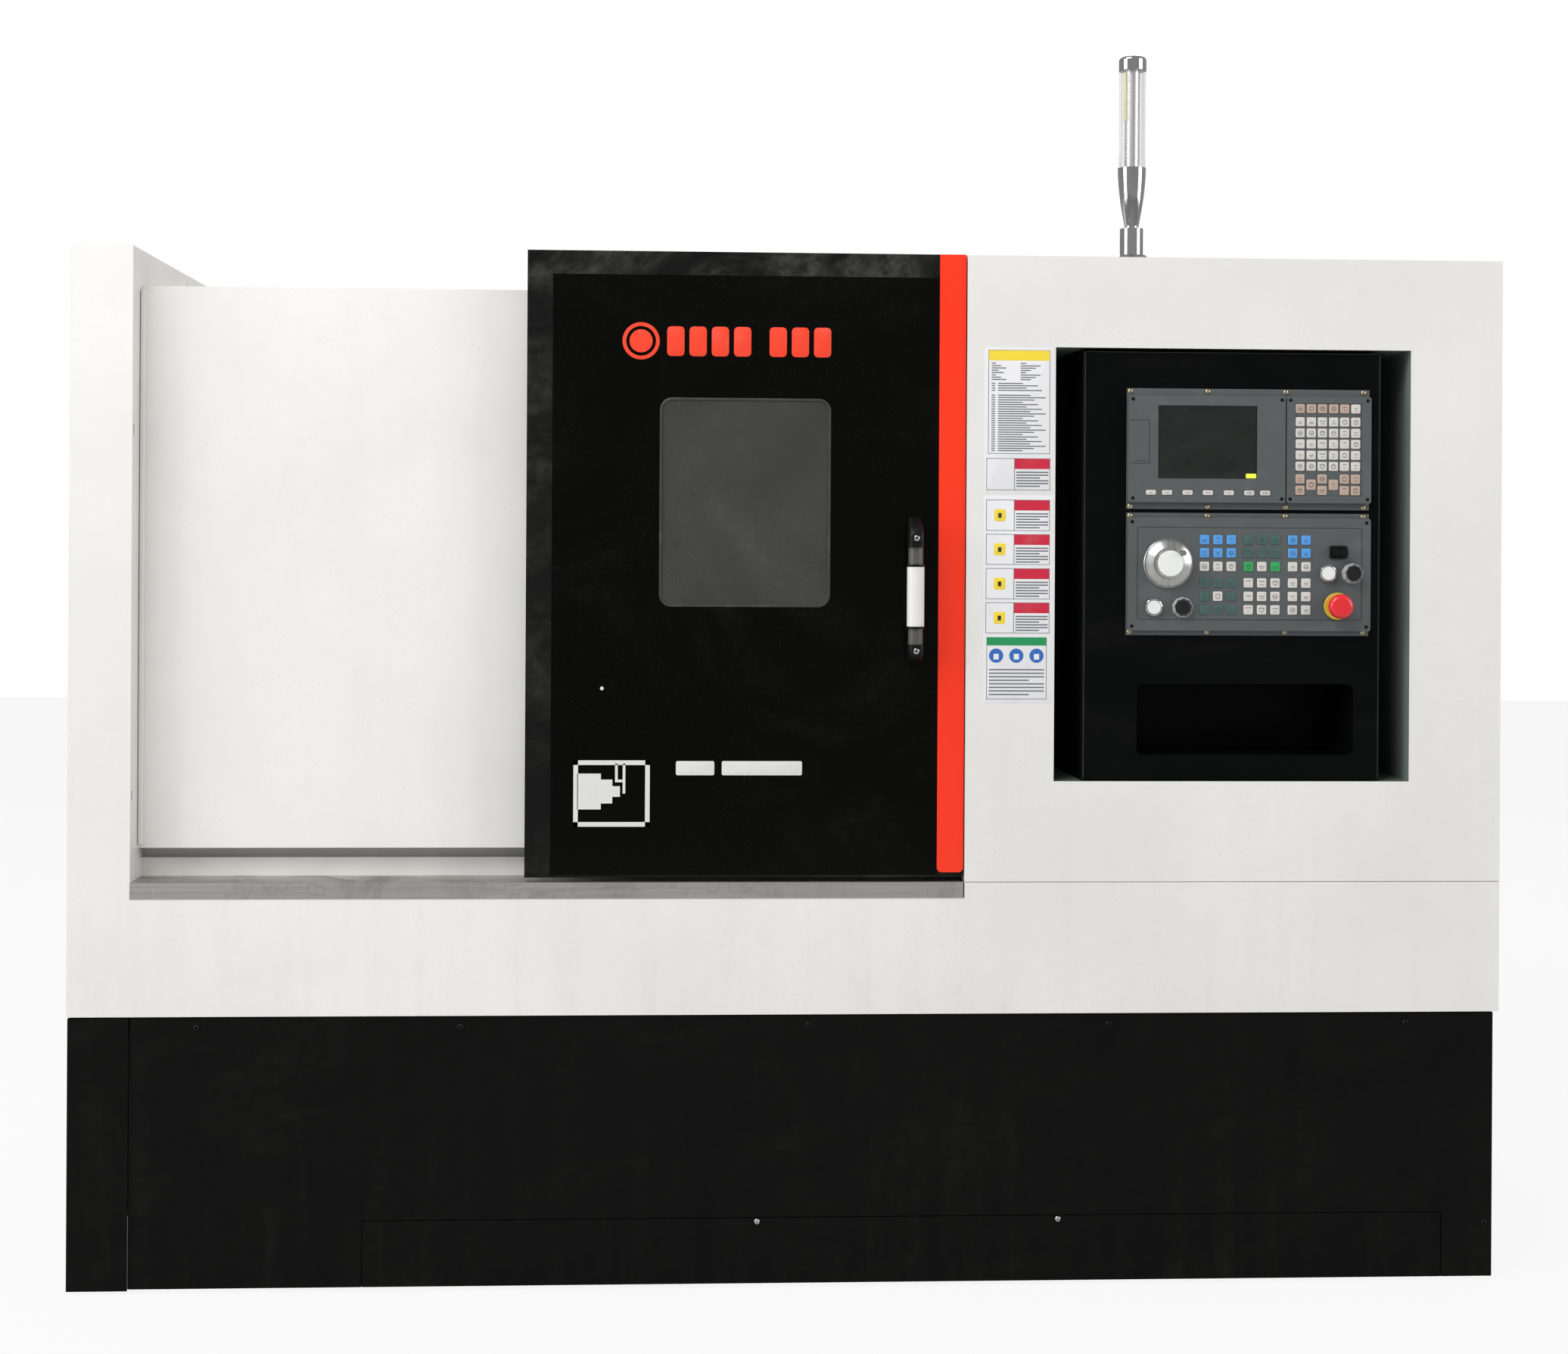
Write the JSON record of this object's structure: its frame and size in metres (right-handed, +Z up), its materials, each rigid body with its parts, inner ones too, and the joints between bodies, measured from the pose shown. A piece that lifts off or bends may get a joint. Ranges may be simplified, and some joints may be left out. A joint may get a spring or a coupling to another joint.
{
  "type": "cnc turning lathe",
  "caption": "Slant-bed turning lathe in a white and black sheet-metal enclosure with a sliding front door, swivelling control console, chuck, turret, tailstock and signal tower.",
  "frame": {"origin": "centre of the footprint on the floor, under the levelling feet", "axes": "+X to the operator's right along the bed, -Y towards the operator, +Z up"},
  "size_m": [2.32, 1.49, 2.009],
  "materials": {
    "white_panel": "satin white powder coat",
    "black_panel": "satin black powder coat",
    "cast_bed": "painted grey casting",
    "stainless": "brushed, stained",
    "ground_steel": "ground and oiled",
    "fascia_black": "gloss black sheet",
    "window": "tinted laminated pane",
    "orange_strip": "semi-gloss orange",
    "black_plastic": "fine grain black",
    "handle_steel": "grey and white lacquer",
    "nylon": "white nylon",
    "bright_steel": "polished",
    "motor_paint": "matt black motor enamel",
    "aluminium": "fine turned",
    "belt": "ribbed belt rubber",
    "chuck_steel": "turned and ground",
    "tool_steel": "blackened steel",
    "console_black": "satin black powder coat",
    "door_black": "satin black powder coat, smeared",
    "unit_black": "charcoal front with membrane fields",
    "button_white": "illuminated white cap",
    "button_black": "gloss black cap",
    "estop_red": "red mushroom cap",
    "wheel_silver": "satin silver handwheel",
    "lens": "clear tube"
  },
  "bodies": {
    "machine": {"bed_casting": "cast_bed", "levelling_feet": "ground_steel", "base_skirt": "black_panel", "kick_panel": "black_panel", "end_cover_skirt": "black_panel", "end_cover": "white_panel", "front_guard": "white_panel", "door_rail": "stainless", "lower_guide": "white_panel", "front_ledge": "stainless", "lower_front_panel": "white_panel", "rear_housing": "white_panel", "right_front_panel": "white_panel", "right_side_panel": "white_panel", "top_cover": "white_panel", "splash_liner": "stainless", "headstock_housing": "cast_bed", "spindle_bearings": "bright_steel", "spindle_motor": "motor_paint", "drive_belt": "belt", "z_rails": "ground_steel", "z_motor": "motor_paint", "tower_base": "bright_steel", "tower_lens": "lens"},
    "door": {"door_frame": "door_black", "door_fascia": "fascia_black", "window_pane": "window", "door_edge_strip": "orange_strip", "handle_feet": "black_plastic", "handle_bar": "handle_steel"},
    "left_roller": {"door_roller_left": "nylon"},
    "right_roller": {"door_roller_right": "nylon"},
    "rear_door": {"cabinet_door": "white_panel"},
    "spindle_set": {"spindle": "ground_steel", "spindle_pulley": "aluminium", "chuck_body": "chuck_steel"},
    "jaw_1": {"chuck_jaw_1": "tool_steel"},
    "jaw_2": {"chuck_jaw_2": "tool_steel"},
    "jaw_3": {"chuck_jaw_3": "tool_steel"},
    "motor_rotor": {"motor_pulley": "aluminium"},
    "feed_screw": {"z_screw": "ground_steel"},
    "carriage": {"saddle": "cast_bed", "x_motor": "motor_paint"},
    "cross_carriage": {"cross_slide": "cast_bed", "turret_housing": "cast_bed"},
    "turret": {"turret_disc": "chuck_steel", "turret_tools": "tool_steel"},
    "tailstock": {"tailstock_body": "cast_bed"},
    "quill": {"tailstock_quill": "bright_steel"},
    "centre": {"live_centre": "ground_steel"},
    "console": {"console_housing": "console_black", "display_unit": "unit_black", "operator_unit": "unit_black"},
    "pulse_wheel": {"handwheel": "wheel_silver"},
    "estop": {"estop_button": "estop_red"},
    "white_left": {"button_white_left": "button_white"},
    "black_left": {"button_black_left": "button_black"},
    "white_right": {"button_white_right": "button_white"},
    "guarded": {"button_guarded": "button_black"},
    "selector": {"mode_switch": "black_plastic"}
  },
  "joints": [
    {"name": "door_slide", "type": "slide", "parent": "machine", "child": "door", "axis": [-1, 0, 0], "range_m": [0, 0.6]},
    {"name": "left_roller_spin", "type": "hinge", "parent": "door", "child": "left_roller", "pos_m": [-0.325, -0.598, 1.6123], "axis": [0, 1, 0], "continuous": true},
    {"name": "right_roller_spin", "type": "hinge", "parent": "door", "child": "right_roller", "pos_m": [0.165, -0.598, 1.6123], "axis": [0, 1, 0], "continuous": true},
    {"name": "rear_door_swing", "type": "hinge", "parent": "machine", "child": "rear_door", "pos_m": [-0.8815, 0.736, 1.06], "axis": [0, 0, 1], "range_deg": [0, 110]},
    {"name": "spindle_spin", "type": "hinge", "parent": "machine", "child": "spindle_set", "pos_m": [-0.6, -0.21, 1.05], "axis": [1, 0, 0], "continuous": true},
    {"name": "jaw_1_slide", "type": "slide", "parent": "spindle_set", "child": "jaw_1", "axis": [0, 0, 1], "range_m": [-0.006, 0.006]},
    {"name": "jaw_2_slide", "type": "slide", "parent": "spindle_set", "child": "jaw_2", "axis": [0, -0.866, -0.5], "range_m": [-0.006, 0.006]},
    {"name": "jaw_3_slide", "type": "slide", "parent": "spindle_set", "child": "jaw_3", "axis": [0, 0.866, -0.5], "range_m": [-0.006, 0.006]},
    {"name": "motor_spin", "type": "hinge", "parent": "machine", "child": "motor_rotor", "pos_m": [-1.1, 0.26605, 1.26364], "axis": [1, 0, 0], "continuous": true},
    {"name": "screw_spin", "type": "hinge", "parent": "machine", "child": "feed_screw", "pos_m": [0.3, -0.01767, 0.92838], "axis": [1, 0, 0], "continuous": true},
    {"name": "z_slide", "type": "slide", "parent": "machine", "child": "carriage", "axis": [1, 0, 0], "range_m": [-0.21, 0.16]},
    {"name": "x_slide", "type": "slide", "parent": "carriage", "child": "cross_carriage", "axis": [0, 0.7071, 0.7071], "range_m": [-0.09, 0.02]},
    {"name": "turret_index", "type": "hinge", "parent": "cross_carriage", "child": "turret", "pos_m": [-0.045, -0.00494, 1.25506], "axis": [1, 0, 0], "continuous": true},
    {"name": "tailstock_slide", "type": "slide", "parent": "machine", "child": "tailstock", "axis": [1, 0, 0], "range_m": [-0.1, 0.15]},
    {"name": "quill_slide", "type": "slide", "parent": "tailstock", "child": "quill", "axis": [-1, 0, 0], "range_m": [0, 0.08]},
    {"name": "centre_spin", "type": "hinge", "parent": "quill", "child": "centre", "pos_m": [0.42, -0.21, 1.05], "axis": [1, 0, 0], "continuous": true},
    {"name": "console_swivel", "type": "hinge", "parent": "machine", "child": "console", "pos_m": [0.715, -0.56, 1.17], "axis": [0, 0, 1], "range_deg": [-20, 20]},
    {"name": "wheel_turn", "type": "hinge", "parent": "console", "child": "pulse_wheel", "pos_m": [0.607, -0.715, 1.1755], "axis": [0, 1, 0], "continuous": true},
    {"name": "estop_press", "type": "slide", "parent": "console", "child": "estop", "axis": [0, 1, 0], "range_m": [0, 0.004], "stiffness_N_per_m": 1500},
    {"name": "white_left_press", "type": "slide", "parent": "console", "child": "white_left", "axis": [0, 1, 0], "range_m": [0, 0.0025], "stiffness_N_per_m": 500},
    {"name": "black_left_press", "type": "slide", "parent": "console", "child": "black_left", "axis": [0, 1, 0], "range_m": [0, 0.0025], "stiffness_N_per_m": 500},
    {"name": "white_right_press", "type": "slide", "parent": "console", "child": "white_right", "axis": [0, 1, 0], "range_m": [0, 0.0025], "stiffness_N_per_m": 500},
    {"name": "guarded_press", "type": "slide", "parent": "console", "child": "guarded", "axis": [0, 1, 0], "range_m": [0, 0.0025], "stiffness_N_per_m": 500},
    {"name": "selector_turn", "type": "hinge", "parent": "console", "child": "selector", "pos_m": [0.888, -0.715, 1.195], "axis": [0, 1, 0], "range_deg": [-45, 45]}
  ],
  "couplings": [
    {"joint": "left_roller_spin", "follows": "door_slide", "rad_per_m": -62.5},
    {"joint": "right_roller_spin", "follows": "door_slide", "rad_per_m": -62.5},
    {"joint": "motor_spin", "follows": "spindle_spin", "ratio": 1.4286},
    {"joint": "screw_spin", "follows": "z_slide", "rad_per_m": 628.32},
    {"joint": "jaw_2_slide", "follows": "jaw_1_slide", "ratio": 1},
    {"joint": "jaw_3_slide", "follows": "jaw_1_slide", "ratio": 1}
  ]
}
